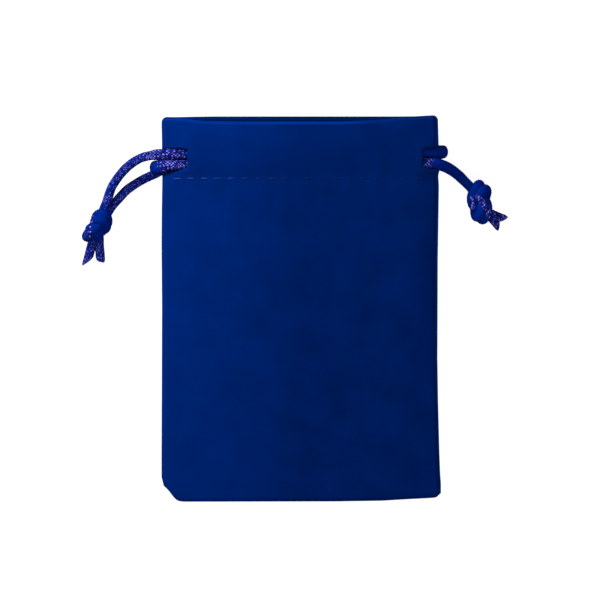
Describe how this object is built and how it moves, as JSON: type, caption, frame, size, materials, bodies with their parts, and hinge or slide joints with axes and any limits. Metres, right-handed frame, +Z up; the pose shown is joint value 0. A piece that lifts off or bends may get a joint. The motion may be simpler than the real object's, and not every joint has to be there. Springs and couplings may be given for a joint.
{
  "type": "drawstring gift pouch",
  "caption": "Small velvet pouch with a stitched casing at the mouth and braided satin drawcords that leave it on opposite sides, each knotted to its own end.",
  "frame": {"origin": "on the table under the middle of the pouch, lying flat on its back, measured without the drawcords", "axes": "+X to the pouch's right seen from the front, +Y towards the mouth, +Z up, out of the front panel"},
  "size_m": [0.0787, 0.07, 0.0114],
  "materials": {
    "velvet": "short-pile velvet, matte with a soft sheen",
    "satin_cord": "braided satin",
    "hem_thread": "polyester sewing thread",
    "seam_thread": "polyester sewing thread"
  },
  "bodies": {
    "pouch": {"front_panel": "velvet", "back_panel": "velvet", "front_hem_stitching": "hem_thread", "back_hem_stitching": "hem_thread", "left_seam_stitching": "seam_thread", "right_seam_stitching": "seam_thread", "bottom_seam_stitching": "seam_thread"},
    "left_cord": {"left_drawcord": "satin_cord", "left_knot": "satin_cord", "left_cord_end_outer": "satin_cord", "left_cord_end_inner": "satin_cord"},
    "right_cord": {"right_drawcord": "satin_cord", "right_knot": "satin_cord", "right_cord_end_outer": "satin_cord", "right_cord_end_inner": "satin_cord"}
  },
  "joints": [
    {"name": "left_cord_pull", "type": "slide", "parent": "pouch", "child": "left_cord", "axis": [-1, 0, 0], "range_m": [0, 0.012], "deforming": ["front_panel", "back_panel", "front_hem_stitching", "back_hem_stitching", "left_seam_stitching", "right_seam_stitching"]},
    {"name": "right_cord_pull", "type": "slide", "parent": "pouch", "child": "right_cord", "axis": [1, 0, 0], "range_m": [0, 0.012], "deforming": ["front_panel", "back_panel", "front_hem_stitching", "back_hem_stitching", "left_seam_stitching", "right_seam_stitching"]}
  ]
}
